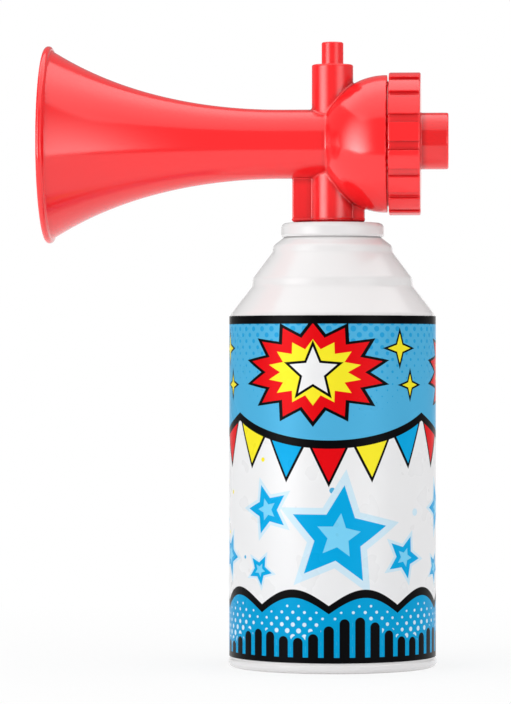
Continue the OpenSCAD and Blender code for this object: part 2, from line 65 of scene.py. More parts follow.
def surface(name, colour, rough, patch, cloud, grain, relief=0.002, recess=0, **sockets):
    """A finish clouded a little in colour and gloss over patches, with a fine relief of grains, and with
    painted shade that darkens its colour in its own recesses of this width. Sizes in mm."""
    material = bpy.data.materials.new(name)
    material.use_nodes = True
    nodes, links = material.node_tree.nodes, material.node_tree.links
    shader = nodes["Principled BSDF"]
    place = nodes.new("ShaderNodeTexCoord").outputs["Object"]
    least, most, uneven = 0.3, 0.7, 0.15

    def noise(size, detail):
        """A noise with patches of this size, which lies mostly between the least and the most."""
        node = nodes.new("ShaderNodeTexNoise")
        node.inputs["Scale"].default_value = 1 / (size * MM)
        node.inputs["Detail"].default_value = detail
        links.new(place, node.inputs["Vector"])
        return node.outputs["Fac"]

    tint = nodes.new("ShaderNodeValToRGB")
    tint.color_ramp.elements[0].position = least
    tint.color_ramp.elements[1].position = most
    tint.color_ramp.elements[0].color = [c * (1 - cloud) for c in colour[:3]] + [1]
    tint.color_ramp.elements[1].color = [min(1, c * (1 + cloud)) for c in colour[:3]] + [1]
    links.new(noise(patch, detail=2), tint.inputs["Fac"])
    links.new(tint.outputs["Color"], shader.inputs["Base Color"])
    # Painted shade: the colour is darkened by ambient occlusion from the piece's own surfaces within the
    # recess width
    if recess:
        painted_recess_shade = nodes.new("ShaderNodeAmbientOcclusion")
        painted_recess_shade.only_local = True
        painted_recess_shade.inputs["Distance"].default_value = recess * MM
        links.new(tint.outputs["Color"], painted_recess_shade.inputs["Color"])
        links.new(painted_recess_shade.outputs["Color"], shader.inputs["Base Color"])
    gloss = nodes.new("ShaderNodeMapRange")
    gloss.inputs["From Min"].default_value = least
    gloss.inputs["From Max"].default_value = most
    gloss.inputs["To Min"].default_value = rough * (1 - uneven)
    gloss.inputs["To Max"].default_value = rough * (1 + uneven)
    links.new(noise(patch / 3, detail=4), gloss.inputs["Value"])
    links.new(gloss.outputs["Result"], shader.inputs["Roughness"])
    skin = nodes.new("ShaderNodeBump")
    skin.inputs["Strength"].default_value = 1
    skin.inputs["Distance"].default_value = relief * MM
    links.new(noise(grain, detail=2), skin.inputs["Height"])
    links.new(skin.outputs["Normal"], shader.inputs["Normal"])
    for socket, value in sockets.items():
        shader.inputs[socket.replace("_", " ")].default_value = value
    return material


def rounded(line):
    """The points of a line of (radius, height, rounding) corners in mm, with its corners rounded."""
    points, steps = [], 6
    for i, (r, z, rounding) in enumerate(line):
        corner = np.array((r, z), float)
        if not rounding or i in (0, len(line) - 1):
            points.append(corner)
            continue
        back = np.array(line[i - 1][:2]) - corner
        ahead = np.array(line[i + 1][:2]) - corner
        back, ahead = back / np.linalg.norm(back), ahead / np.linalg.norm(ahead)
        half = math.acos(np.clip(back @ ahead, -1, 1)) / 2
        middle = corner + (back + ahead) / np.linalg.norm(back + ahead) * rounding / math.sin(half)
        for share in np.linspace(0, 1, steps + 1):
            spoke = corner + (back * (1 - share) + ahead * share) * rounding / math.tan(half) - middle
            points.append(middle + spoke / np.linalg.norm(spoke) * rounding)
    return points


def set_off(line, thickness):
    """The same line moved to its left by the thickness of a sheet, its roundings kept concentric."""
    moved = []
    for i, (r, z, rounding) in enumerate(line):
        before = np.subtract(line[max(i, 1)][:2], line[max(i, 1) - 1][:2])
        after = np.subtract(line[min(i + 1, len(line) - 1)][:2], line[min(i, len(line) - 2)][:2])
        before, after = (np.array((-v[1], v[0])) / np.linalg.norm(v) for v in (before, after))
        turn = np.sign(before[0] * after[1] - before[1] * after[0])
        place = np.array((r, z)) + (before + after) * thickness / (1 + before @ after)
        kept = max(0, rounding - turn * thickness) if rounding else 0
        moved.append((place[0] if r else 0, place[1], kept))
    return moved


def meshed(name, vertices, faces, crease=35):
    """An object from vertices in mm, smooth except at edges sharper than the crease, in degrees."""
    mesh = bpy.data.meshes.new(name)
    mesh.from_pydata((np.array(vertices) * MM).tolist(), [], faces)
    mesh.shade_smooth()
    mesh.set_sharp_from_angle(angle=math.radians(crease))
    piece = bpy.data.objects.new(name, mesh)
    bpy.context.scene.collection.objects.link(piece)
    return piece


def turned(name, outline, around=176):
    """A closed mesh turned about Z from an outline of (radius, height) points in mm, solid to its left."""
    on_axis = 1e-6
    angles = np.arange(around) * 2 * np.pi / around
    vertices, rings = [], []
    for r, z in outline:
        count = around if r > on_axis else 1
        rings.append([len(vertices) + i % count for i in range(around)])
        vertices += [(r * math.cos(a), r * math.sin(a), z) for a in angles[:count]]
    faces = []
    for low, high in zip(rings, rings[1:] + rings[:1]):
        for i in range(around):
            j = (i + 1) % around
            face = list(dict.fromkeys((low[i], low[j], high[j], high[i])))
            if len(face) > 2:
                faces.append(face)
    return meshed(name, vertices, faces)


def fitted(piece, material, body, slot, *nodes):
    """Gives a piece its finish, and lets it move with its body in place of the CAD nodes."""
    piece.data.materials.append(material)
    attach(piece, body)
    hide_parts(*nodes)


can_wall, can_r, side_h = 0.6, 32.8, 112.25
base_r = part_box("can_body")[1].x / MM
foot_r, foot_in, foot_in_round, foot_out_round = 28.0, 0.6, 0.8, 1.3
bead_h, bead_round, base_dome_h, base_dome_steps = 2.4, 0.3, 7.0, 12
step_r, step_h, step_draft = (25.8, 19.35), (2.6, 2.1), 0.2
shoulder_round, step_foot_rounds, step_top_rounds = 3, (2.6, 2.4), (2.6, 2)
shoulder_slope = math.tan(math.radians(52))
low_step_z = side_h + (can_r - step_r[0]) * shoulder_slope
high_step_z = low_step_z + step_h[0] + (step_r[0] - step_r[1]) * shoulder_slope
rim_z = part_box("valve_cup")[1].z / MM
rim_h, rim_w, cup_t = 4.5, 4.3, 0.5
cup_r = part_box("valve_cup")[1].x / MM
neck_z = rim_z - rim_h
neck_r = cup_r - rim_w / 2 + can_wall / 2
neck_foot_in, neck_rise, neck_round = 0.6, 1.45, 0.3
curl_play, curl_from, curl_to, curl_steps = 0.25, -1.35, 4.49, 18
curl_r = rim_w / 2 - cup_t - curl_play
curl_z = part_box("can_body")[1].z / MM - curl_r
base_dome_r = (foot_r**2 + base_dome_h**2) / (2 * base_dome_h)
base_dome_line = [(base_dome_r * math.sin(a), base_dome_h - base_dome_r + base_dome_r * math.cos(a), 0)
                  for a in np.linspace(0, math.asin(foot_r / base_dome_r), base_dome_steps)[:-1]]
can_line = base_dome_line + [
    (foot_r, 0, foot_in_round), (base_r - foot_in, 0, foot_out_round),
    (base_r, bead_h / 2, bead_round), (base_r, bead_h, bead_round),
    (can_r, bead_h + base_r - can_r, bead_round), (can_r, side_h, shoulder_round),
    (step_r[0], low_step_z, step_foot_rounds[0]),
    (step_r[0] - step_draft, low_step_z + step_h[0], step_top_rounds[0]),
    (step_r[1], high_step_z, step_foot_rounds[1]),
    (step_r[1] - step_draft, high_step_z + step_h[1], step_top_rounds[1]),
    (cup_r - cup_t - neck_foot_in, neck_z, neck_round), (neck_r, neck_z + neck_rise, neck_round),
    (neck_r, curl_z - curl_r, 0)]
curl = [(cup_r - rim_w / 2 + curl_r * math.cos(a), curl_z + curl_r * math.sin(a))
        for a in np.linspace(curl_from, curl_to, curl_steps)]
white_lacquer = surface("white_lacquer", srgb(228, 226, 226), rough=0.18, patch=40, cloud=0.012, grain=1.2,
                        relief=0.004, Coat_Weight=0.15, Coat_Roughness=0.05)
can = turned("can", rounded(can_line) + curl + rounded(set_off(can_line, can_wall))[::-1])
fitted(can, white_lacquer, "can", "white_can", "can_body")


# The label: a printed film wrapped once round the straight wall and glued, with its seam behind. The print
# is a plain party pattern: bursts on a dotted field, pennants on swags, stars, and sound bars at the foot.
class Measure:
    """A number that varies over a surface or from ray to ray, worked out by math nodes."""

    def __init__(self, tree, socket):
        self.tree, self.socket = tree, socket

    def by(self, operation, *others):
        node = self.tree.nodes.new("ShaderNodeMath")
        node.operation = operation
        for i, value in enumerate((self, *others)):
            if isinstance(value, Measure):
                self.tree.links.new(value.socket, node.inputs[i])
            else:
                node.inputs[i].default_value = value
        return Measure(self.tree, node.outputs[0])

    def __add__(self, other):
        return self.by("ADD", other)

    def __sub__(self, other):
        return self.by("SUBTRACT", other)

    def __mul__(self, other):
        return self.by("MULTIPLY", other)

    def __truediv__(self, other):
        return self.by("DIVIDE", other)

    def __neg__(self):
        return self.by("MULTIPLY", -1)

    def __abs__(self):
        return self.by("ABSOLUTE")

    def over(self, other):
        """The greater of the two."""
        return self.by("MAXIMUM", other)

    def under(self, other):
        """The lesser of the two."""
        return self.by("MINIMUM", other)

    def repeated(self, step):
        """Its offset from the middle of the nearest step."""
        return self.by("WRAP", step / 2, -step / 2)


def spread(x, y):
    """The distance of a point from the middle."""
    return (x * x + y * y).by("SQRT")


def star(x, y, points, tip, notch):
    """How far a point lies outside a star with its tips and notches at these radii."""
    part = math.pi / points
    turn = x.by("ARCTAN2", y).by("PINGPONG", part)
    reach = spread(x, y)
    across, along = notch * math.sin(part), tip - notch * math.cos(part)
    length = math.hypot(across, along)
    beyond_tip = reach * turn.by("COSINE") - tip
    return beyond_tip * (across / length) + reach * turn.by("SINE") * (along / length)


label_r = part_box("can_label")[1].x / MM
label_low, label_high = (corner.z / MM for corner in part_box("can_label"))
film_t, ink_edge, key_line, foot_line = 0.12, 0.12, 2.6, 1.8
label_in_r = label_r - film_t
round_it = 2 * math.pi * label_r
panel = round_it / 3
white, black, red_ink, yellow = srgb(230, 230, 231), srgb(7, 7, 9), srgb(222, 12, 20), srgb(240, 226, 44)
sky, blue, lower_blue = srgb(77, 170, 213), srgb(6, 162, 219), srgb(0, 154, 207)
pale_blue, light_blue = srgb(200, 224, 237), srgb(120, 204, 238)
upper_dot, lower_dot = srgb(38, 153, 207), srgb(205, 228, 240)
film = bpy.data.materials.new("printed_film")
film.use_nodes = True
tree = film.node_tree
shader = tree.nodes["Principled BSDF"]
place = tree.nodes.new("ShaderNodeTexCoord").outputs["Object"]
split = tree.nodes.new("ShaderNodeSeparateXYZ")
tree.links.new(place, split.inputs[0])
east, north, up = (Measure(tree, split.outputs[axis]) / MM for axis in "XYZ")
wrap = east.by("ARCTAN2", -north) * label_r
beside = wrap.repeated(panel)
layers = [white]


def printed(shape, colour):
    """Lays a colour over the print where the shape's distance is below zero."""
    mix = tree.nodes.new("ShaderNodeMix")
    mix.data_type = "RGBA"
    share, lower, upper, result = mix.inputs[0], mix.inputs[6], mix.inputs[7], mix.outputs[2]
    cover = (shape * (-1 / ink_edge) + 0.5).over(0).under(1)
    tree.links.new(cover.socket, share)
    for socket, ink in ((lower, layers[-1]), (upper, colour)):
        if isinstance(ink, list):
            socket.default_value = ink
        else:
            tree.links.new(ink, socket)
    layers.append(result)


def chosen(share, first, *later):
    """The first colour, or the one whose start comes last before the share, which goes from 0 to 1."""
    ramp = tree.nodes.new("ShaderNodeValToRGB")
    ramp.color_ramp.interpolation = "CONSTANT"
    hues = ramp.color_ramp.elements
    hues.remove(hues[1])
    hues[0].color = first
    for start, colour in later:
        hues.new(start).color = colour
    tree.links.new(share.socket, ramp.inputs["Fac"])
    return ramp.outputs["Color"]


# Scattered paper dots on the white ground
scatter_step, scatter_least, scatter_more = 9.5, 0.75, 0.7
scatter = tree.nodes.new("ShaderNodeTexVoronoi")
scatter.inputs["Scale"].default_value = 1 / (scatter_step * MM)
tree.links.new(place, scatter.inputs["Vector"])
chance = tree.nodes.new("ShaderNodeSeparateColor")
tree.links.new(scatter.outputs["Color"], chance.inputs["Color"])
scatter_hue, scatter_size = (Measure(tree, chance.outputs[part]) for part in ("Red", "Green"))
scatter_r = scatter_size * scatter_more + scatter_least
scattered = Measure(tree, scatter.outputs["Distance"]) * scatter_step - scatter_r
printed(scattered, chosen(scatter_hue, sky, (0.45, red_ink), (0.6, yellow), (0.8, pale_blue)))

# Stars with a pale rim and a light heart, a large one among three smaller ones on each panel
star_points, star_notch, star_rim, star_heart = 5, 0.48, 0.13, 0.45
for at_x, at_z, size, lean in ((3, 43, 16, 0.12), (-21, 51, 8, -0.3), (26, 36, 7, 0.4), (-24, 32, 5, 0.5)):
    off_x, off_z = (beside - at_x).repeated(panel), up - at_z
    star_x = off_x * math.cos(lean) - off_z * math.sin(lean)
    star_z = off_x * math.sin(lean) + off_z * math.cos(lean)
    heart = size * star_heart
    outline = star(star_x, star_z, star_points, size, size * star_notch)
    printed(outline - size * star_rim, pale_blue)
    printed(outline, blue)
    printed(star(star_x, star_z, star_points, heart, heart * star_notch), light_blue)

# Upper field, hung in three swags, with dots that grow towards the top
swag_low, swag_rise = 71.5, 8.5
dots_round_it, upper_plain_h, upper_growth = 54, 5, 0.03
above = up - beside * beside * (4 * swag_rise / panel**2) - swag_low
dot_step = round_it / (dots_round_it * math.sqrt(2))
slant_a = ((wrap + up) * math.sqrt(0.5)).repeated(dot_step)
slant_b = ((wrap - up) * math.sqrt(0.5)).repeated(dot_step)
dots = spread(slant_a, slant_b)
printed(-above, sky)
printed((dots - (above - upper_plain_h) * upper_growth).over(-above + upper_plain_h), upper_dot)

# A burst with a bright middle and a star, one on each panel, with sparks beside it
burst_aside, burst_z, burst_flat, burst_points = 5, 94, 1.5, 14
burst_tip, burst_notch, middle_tip, middle_notch, heart_tip, heart_notch = 23, 16.5, 15.5, 11, 8, 3.6
burst_line, heart_line, spark_line = 1.2, 0.8, 0.6
spark_points, spark_notch = 4, 0.34
burst_x, burst_y = beside + burst_aside, up - burst_z
burst = star(burst_x, burst_y * burst_flat, burst_points, burst_tip, burst_notch)
printed(burst - burst_line, black)
printed(burst, red_ink)
printed(star(burst_x, burst_y * burst_flat, burst_points, middle_tip, middle_notch), yellow)
outline = star(burst_x, burst_y, star_points, heart_tip, heart_notch)
printed(outline - heart_line, black)
printed(outline, white)
for at_x, at_z, size in ((24, 101.5, 4.6), (28.5, 90, 3.4)):
    spark_x, spark_y = (beside - at_x).repeated(panel), up - at_z
    outline = star(spark_x, spark_y, spark_points, size, size * spark_notch)
    printed(outline - spark_line, black)
    printed(outline, yellow)

# Pennants on the swags, in three colours by turns
flag_w, flag_h, flag_slope, flag_lean, flag_line = panel / 5, 11.5, 2, 0.45, 0.8
flag_hues, hue_margin = 3, 0.05
flag = (abs(wrap.repeated(flag_w)) * flag_slope - above - flag_h) * flag_lean
flag = flag.over(above)
order = (wrap / flag_w + 0.5).by("FLOOR") / flag_hues
flag_hue = order - order.by("FLOOR") + hue_margin
printed(flag - flag_line, black)
printed(flag, chosen(flag_hue, red_ink, (0.34, yellow), (0.67, blue)))
printed(abs(above) - key_line / 2, black)

# Lower field with a scalloped top, pale dots and black sound bars
scallop_w, scallop_h, scallop_low = round_it / 9, 5, 20
lower_plain_h, lower_growth, lower_least = 3, 0.05, 0.2
bar_w, bar_half, bar_margin, bar_h, bar_swing = round_it / 42, 1.6, 0.9, 8, 2.4
quick_wave, slow_wave, slow_start = 0.9, 0.37, 1
below = up - abs((wrap * (math.pi / scallop_w)).by("SINE")) * scallop_h - scallop_low
printed(below, lower_blue)
printed((dots + below * lower_growth - lower_least).over(below + lower_plain_h), lower_dot)
bar = (wrap / bar_w + 0.5).by("FLOOR")
quick, slow = (bar * quick_wave).by("SINE"), (bar * slow_wave + slow_start).by("SINE")
level = quick * bar_swing + slow * bar_swing + label_low + bar_h
bars = spread(wrap.repeated(bar_w), (up - level).over(0)) - bar_half
printed(bars - bar_margin, lower_blue)
printed(bars, black)
printed(abs(below) - key_line / 2, black)
printed(-up + label_high - key_line, black)
printed(up - label_low - foot_line, black)


def film_noise(waves):
    """An even noise over the film, with this many waves to the metre."""
    node = tree.nodes.new("ShaderNodeTexNoise")
    node.inputs["Scale"].default_value = waves
    tree.links.new(place, node.inputs["Vector"])
    return node.outputs["Fac"]


# The film's gloss, which takes the ink's colour a little, and its slight ripple
gloss_waves, ripple_waves, ripple_h = 90, 60, 0.004
tree.links.new(layers[-1], shader.inputs["Base Color"])
shader.inputs["Specular IOR Level"].default_value = 0.04
shader.inputs["Metallic"].default_value = 0.05
gloss = tree.nodes.new("ShaderNodeMapRange")
gloss.inputs["To Min"].default_value = 0.25
gloss.inputs["To Max"].default_value = 0.31
tree.links.new(film_noise(gloss_waves), gloss.inputs["Value"])
tree.links.new(gloss.outputs["Result"], shader.inputs["Roughness"])
skin = tree.nodes.new("ShaderNodeBump")
skin.inputs["Distance"].default_value = ripple_h * MM
tree.links.new(film_noise(ripple_waves), skin.inputs["Height"])
tree.links.new(skin.outputs["Normal"], shader.inputs["Normal"])
label_line = [(label_in_r, label_low), (label_r, label_low), (label_r, label_high),
              (label_in_r, label_high)]
label = turned("label", label_line)

# The film unrolled for the bake: its outside above, its back and edges in a narrow strip below
strip_h, outside_from = 0.04, 0.05
unrolled = label.data.uv_layers.new(name="OFBake")
for face in label.data.polygons:
    outside = face.normal.xy.dot(face.center.xy) > 0.5 * face.center.xy.length
    turns = []
    for loop in face.loop_indices:
        spot = label.data.vertices[label.data.loops[loop].vertex_index].co
        turn = math.atan2(spot.x, -spot.y) / (2 * math.pi) + 0.5
        turns.append((loop, turn, (spot.z / MM - label_low) / (label_high - label_low)))
    wide = max(t for _, t, _ in turns) - min(t for _, t, _ in turns) > 0.5
    for loop, turn, rise in turns:
        turn += 1 if wide and turn < 0.5 else 0
        sheet_rise = outside_from + (1 - outside_from) * rise if outside else strip_h * rise
        unrolled.data[loop].uv = (turn, sheet_rise)
fitted(label, film, "can", "label_film", "can_label")


# The valve: a lacquered cup crimped over the can's curl on a soft ring. Under its pedestal a plastic
# housing holds the stem, the stem's gasket and the spring that shuts it. All white, with black rubber and
# bright wire.
recess_r, recess_z = cup_r - rim_w, rim_z - 8.5
clinch_r, clinch_z, clinch_half, clinch_flat = recess_r + 0.9, rim_z - 6.0, 1.4, 0.4
pedestal_r, pedestal_z, pedestal_draft, stem_hole_r = 5.7, rim_z - 3.3, 0.3, 2.25
tuck, tuck_h = 0.35, 0.7
tuck_round, rim_round, clinch_round, cup_round = 0.6, 1.7, 0.3, 0.8
cup_line = [
    (cup_r - tuck, neck_z, 0), (cup_r, neck_z + tuck_h, tuck_round), (cup_r, rim_z, rim_round),
    (recess_r, rim_z, cup_round), (recess_r, clinch_z + clinch_half, clinch_round),
    (clinch_r, clinch_z + clinch_flat, clinch_round), (clinch_r, clinch_z - clinch_flat, clinch_round),
    (recess_r, clinch_z - clinch_half, clinch_round), (recess_r, recess_z, cup_round),
    (pedestal_r + pedestal_draft, recess_z, cup_round), (pedestal_r, pedestal_z, cup_round),
    (stem_hole_r, pedestal_z, 0)]
cup = turned("valve_cup_sheet", rounded(cup_line) + rounded(set_off(cup_line, cup_t))[::-1], around=144)
cup_lacquer = surface("cup_lacquer", srgb(227, 225, 225), rough=0.16, patch=12, cloud=0.02, grain=1.0,
                      relief=0.003)
fitted(cup, cup_lacquer, "can", "white_cup", "valve_cup")


def dressed(material, *nodes):
    """CAD pieces that are shown as they are, in a finish of their own."""
    for node in nodes:
        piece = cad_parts[node]
        piece.data.materials.clear()
        piece.data.materials.append(material)


white_nylon = surface("white_nylon", srgb(236, 235, 228), rough=0.42, patch=6, cloud=0.02, grain=0.3)
rubber = surface("black_rubber", srgb(38, 38, 40), rough=0.62, patch=3, cloud=0.12, grain=0.15,
                 relief=0.006)
dressed(rubber, "cup_gasket", "stem_gasket")
dressed(white_nylon, "valve_housing", "valve_stem")


def coil(name, middle_r, wire_r, low, high, turns):
    """A spring of round wire, with most of its first and last turn lying flat."""
    around, rings, flat = 10, 40, 0.7
    count = round(turns * rings)
    shares = np.linspace(0, 1, count + 1)
    lift = np.clip((shares * turns - flat) / (turns - 2 * flat), 0, 1)
    rise = low + wire_r + (high - low - 2 * wire_r) * lift
    points, faces = [], []
    for share, z in zip(shares, rise):
        a = 2 * math.pi * turns * share
        for b in np.arange(around) * 2 * np.pi / around:
            r = middle_r + wire_r * math.cos(b)
            points.append((r * math.cos(a), r * math.sin(a), z + wire_r * math.sin(b)))
    for i in range(count):
        for k in range(around):
            j = (k + 1) % around
            faces.append((i * around + k, (i + 1) * around + k, (i + 1) * around + j, i * around + j))
    faces += [list(range(around)), [count * around + k for k in range(around)][::-1]]
    return meshed(name, points, faces, crease=60)


spring_low, spring_high = (corner.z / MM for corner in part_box("valve_spring"))
bright_wire = surface("bright_wire", srgb(196, 197, 200), rough=0.24, patch=2, cloud=0.06, grain=0.12,
                      Metallic=1.0)
valve_spring = coil("valve_spring_wire", middle_r=2.52, wire_r=0.3, low=spring_low, high=spring_high,
                    turns=6)
fitted(valve_spring, bright_wire, "can", "spring_steel", "valve_spring")
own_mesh(valve_spring)


# The head: one glossy red moulding of trumpet, upright column, dome and cap collar, run together with
# small fillets. Two webs brace the column above a small ledge, and a skirt under it snaps into the
# valve cup.
def joined(a, b, fillet):
    """Two bodies run together, with a fillet where they meet."""
    corner = np.hypot(np.maximum(fillet - a, 0), np.maximum(fillet - b, 0))
    return np.maximum(fillet, np.minimum(a, b)) - corner


def trimmed(a, b, edge):
    """What two bodies have in common, its new edge rounded."""
    corner = np.hypot(np.maximum(a + edge, 0), np.maximum(b + edge, 0))
    return np.minimum(-edge, np.maximum(a, b)) + corner


def between(value, low, high):
    """How far a value lies beyond the nearer of two sides."""
    return np.abs(value - (low + high) / 2) - (high - low) / 2


def block(edge, *sides):
    """A block with rounded edges, from how far a point lies beyond each pair of its sides."""
    beyond = np.stack(sides) + edge
    return np.sqrt((np.maximum(beyond, 0)**2).sum(axis=0)) + np.minimum(beyond.max(axis=0), 0) - edge


def graded(*stops):
    """Grid lines from stop to stop, each stop but the last with its step."""
    *starts, end = stops
    ends = [start for start, _ in starts[1:]] + [end]
    lines = [np.arange(start, stop, step) for (start, step), stop in zip(starts, ends)]
    return np.concatenate(lines + [[end]])


def cast(name, body, lines):
    """A closed mesh of the skin of a body of distances in mm: one point in each cell of the grid that the
    skin crosses, drawn onto the skin, with the shading that the body itself has there."""
    values = body(*np.meshgrid(*lines, indexing="ij"))
    inside = values < 0
    count = inside.shape
    full = sum(inside[tuple(slice(o, n - 1 + o) for o, n in zip(corner, count))].astype(np.int8)
               for corner in itertools.product((0, 1), repeat=3))
    cells = np.argwhere((full > 0) & (full < 8))
    number = np.full([n - 1 for n in count], -1)
    number[tuple(cells.T)] = np.arange(len(cells))
    sums, hits, faces = np.zeros((len(cells), 3)), np.zeros(len(cells)), []
    for axis in range(3):
        along, u, v = np.roll(np.eye(3, dtype=int), -axis, axis=0)
        for offset in (0 * u, u, v, u + v):
            start = cells + offset
            a, b = values[tuple(start.T)], values[tuple((start + along).T)]
            crossed = (a < 0) != (b < 0)
            sums[crossed] += offset + (a / np.where(crossed, a - b, 1))[crossed, None] * along
            hits += crossed
        lower = inside[tuple(slice(0, n - d) for n, d in zip(count, along))]
        upper = inside[tuple(slice(d, n) for n, d in zip(count, along))]
        for edges, way in ((np.argwhere(lower & ~upper), 1), (np.argwhere(~lower & upper), -1)):
            ring = [number[tuple((edges - shift).T)] for shift in (u + v, v, 0 * u, u)]
            faces += np.stack(ring[::way], axis=1).tolist()
    share = sums / hits[:, None]
    points = np.stack([line[c] + s * (line[c + 1] - line[c])
                       for line, c, s in zip(lines, cells.T, share.T)], axis=1)

    def lean(p):
        """How fast the distance grows along each axis."""
        step = 0.01
        return np.stack([(body(*(p + e).T) - body(*(p - e).T)) / (2 * step)
                         for e in np.eye(3) * step], axis=1)

    draws, least_steep, farthest = 5, 0.1, 0.25
    for _ in range(draws):
        slope = lean(points)
        steep = np.maximum((slope**2).sum(axis=1), least_steep)
        move = body(*points.T)[:, None] * slope / steep[:, None]
        points -= np.clip(move, -farthest, farthest)
    slope = lean(points)
    normals = slope / np.linalg.norm(slope, axis=1)[:, None]
    piece = meshed(name, points, faces, crease=180)
    piece.data.normals_split_custom_set_from_vertices(normals.tolist())
    return piece


horn_z = sum(corner.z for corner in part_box("diaphragm")) / 2 / MM
tube_r, horn_wall, throat_r, nozzle_r = 11.075, 2.0, 4.5, 6.5
flare_start, flare_end, lip_r, lip_proud, mouth_r = 16.2, 91.0, 1.1, 0.8, 31.65
flare_scale = (flare_end - flare_start) / math.acosh((mouth_r - lip_proud) / tube_r)
taper_x, chamber_x = 8.15, 7.25
dome_r, dome_x, dome_middle = 22.0, 17.6, 17.3
collar_root_r, collar_bore_r, collar_x, nozzle_x = 19.9, 18.4, 23.7, 24.55
column_r, column_z, foot_z = 6.65, horn_z + 25.4, rim_z - 2.2
web_t, web_front, web_back, web_z = 4.0, 12.8, 10.3, rim_z + 0.3
ledge_z, ledge_ramp, ledge_out = rim_z + 1.4, 0.25, 0.2
bevel_z, bevel_h, bevel_lean = rim_z + 1.0, 0.9, 0.45
skirt_r, skirt_wall, skirt_z, skirt_top_z = 11.95, 1.6, rim_z - 7.0, rim_z - 0.3
snap_r, snap_in, snap_z = 12.65, 0.3, clinch_z
well_r, well_z, rod_hole_r = 3.58, horn_z + tube_r + 1.5, 1.58
gland_r, gland_z = 3.08, horn_z - tube_r + 1.5
rod_hole_low_z = gland_z - 1
gas_r, gas_z = 4.2, gland_z - 1.5
port_r, port_z = 1.5, gland_z - 5.5
dome_edge, column_edge, web_edge = 0.25, 0.6, 0.5
air_edge, well_edge, hole_edge = 0.3, 0.5, 0.2
dome_fillet, column_fillet, web_fillet, lip_fillet = 0.6, 0.5, 0.35, 0.45


def head_body(x, y, z):
    """How far a point lies outside the head."""
    out, beside = np.hypot(y, z - horn_z), np.hypot(x, y)
    reach = np.clip(-x - flare_start, 0, flare_end) / flare_scale
    flare, lean = tube_r * np.cosh(reach), np.hypot(1, tube_r / flare_scale * np.sinh(reach))
    trumpet = np.maximum((out - flare) / lean, np.maximum(-flare_end - x, x - dome_middle))
    dome = trimmed(np.hypot(np.minimum(x - dome_middle, 0), out) - dome_r, x - dome_x, dome_edge)
    bevel = bevel_lean * np.clip(bevel_z - z, 0, bevel_h)
    ledge = ledge_out * np.clip((ledge_z - z) / ledge_ramp, 0, 1) - bevel
    column = trimmed(beside - column_r - ledge, np.maximum(z - column_z, foot_z - z), column_edge)
    web = block(web_edge, between(x, -web_front, web_back) - ledge,
                between(y, -web_t / 2, web_t / 2) - ledge, between(z, web_z, horn_z))
    solid = joined(trumpet, dome, dome_fillet)
    solid = joined(solid, column, column_fillet)
    solid = joined(solid, web, web_fillet)
    collar = np.maximum(out - collar_root_r, np.maximum(x - collar_x, dome_middle - x))
    solid = np.minimum(solid, collar)
    skirt = np.maximum(beside - skirt_r, between(z, skirt_z, skirt_top_z))
    snap = np.hypot(beside - (skirt_r - snap_in), z - snap_z) - (snap_r - skirt_r + snap_in)
    snap = np.maximum(snap, skirt_z - z)
    skirt_bore = np.maximum(beside - (skirt_r - skirt_wall), z - foot_z)
    solid = np.minimum(solid, np.maximum(np.minimum(skirt, snap), -skirt_bore))
    taper = np.clip((x + flare_start) / (taper_x + flare_start), 0, 1)
    bore = (out - (flare - horn_wall) * (1 - taper) - throat_r * taper) / lean
    chamber = np.maximum(np.hypot(np.minimum(x - dome_x, 0), out) - collar_bore_r, chamber_x - x)
    chamber = np.maximum(chamber, -np.maximum(out - nozzle_r, x - nozzle_x))
    well = np.maximum(beside - well_r, well_z - z)
    rod_hole = np.maximum(beside - rod_hole_r, rod_hole_low_z - z)
    gland = np.maximum(beside - gland_r, z - gland_z)
    gas = np.maximum(beside - gas_r, z - gas_z)
    port = np.maximum(np.hypot(y, z - port_z) - port_r, np.maximum(-x, x - dome_middle))
    for hollow, edge in ((bore, air_edge), (chamber, air_edge), (well, well_edge), (rod_hole, hole_edge),
                         (gland, hole_edge), (gas, air_edge), (port, hole_edge)):
        solid = trimmed(solid, -hollow, edge)
    lip = np.hypot(out - (mouth_r - lip_r), x + flare_end) - lip_r
    return joined(solid, lip, lip_fillet)


# The red's colour is darkened within 2.6 mm of its own recesses: painted shade in the flutes, fillets and
# corners
red_plastic = surface("red_plastic", srgb(254, 30, 35), rough=0.14, patch=30, cloud=0.02, grain=1.0,
                      relief=0.003, recess=2.6, Specular_IOR_Level=0.8)
head = cast("horn_head", head_body, (
    graded((-93.4, 0.5), (-88.9, 1.6), (-19, 0.65), (-14.2, 0.45), (11, 0.7), (16.6, 0.34), (18.3, 0.7),
           25.4),
    graded((-32.5, 0.85), (-7.7, 0.45), (7.6, 0.85), 32.5),
    graded((133.9, 0.52), (139.9, 0.44), (145.6, 0.64), (187, 0.52), 199.2)))
fitted(head, red_plastic, "head", "red_plastic", "horn_body")
# Diffuse rays pass through it, so that its red casts no tint on the white can
head.visible_diffuse = False
thread_x, thread_pitch, ridge_w, ridge_sunk = 19.3, 3, 1.3, 0.1
collar_crest_r, collar_turns = 20.55, 1.2


def thread(name, root_r, crest_r, turns, shift):
    """A ridge that winds along the horn's axis from a root radius to a crest radius, thin at its ends."""
    per_turn, run_out, least, crest_half = 72, 12, 0.05, 0.22
    points, faces = [], []
    count = round(turns * per_turn)
    for i in range(count + 1):
        a, x = 2 * math.pi * (turns * i / count + shift), thread_x + thread_pitch * turns * i / count
        full = min(1, i / run_out, (count - i) / run_out)
        crest = root_r + (crest_r - root_r) * max(full, least)
        for r, side in ((root_r, -0.5), (root_r, 0.5), (crest, crest_half), (crest, -crest_half)):
            points.append((x + side * ridge_w, r * math.cos(a), horn_z + r * math.sin(a)))
    for i in range(count):
        for k in range(4):
            j = (k + 1) % 4
            faces.append((4 * i + k, 4 * i + j, 4 * i + 4 + j, 4 * i + 4 + k))
    faces += [[3, 2, 1, 0], [4 * count + k for k in range(4)]]
    if crest_r < root_r:
        faces = [face[::-1] for face in faces]
    return meshed(name, points, faces)


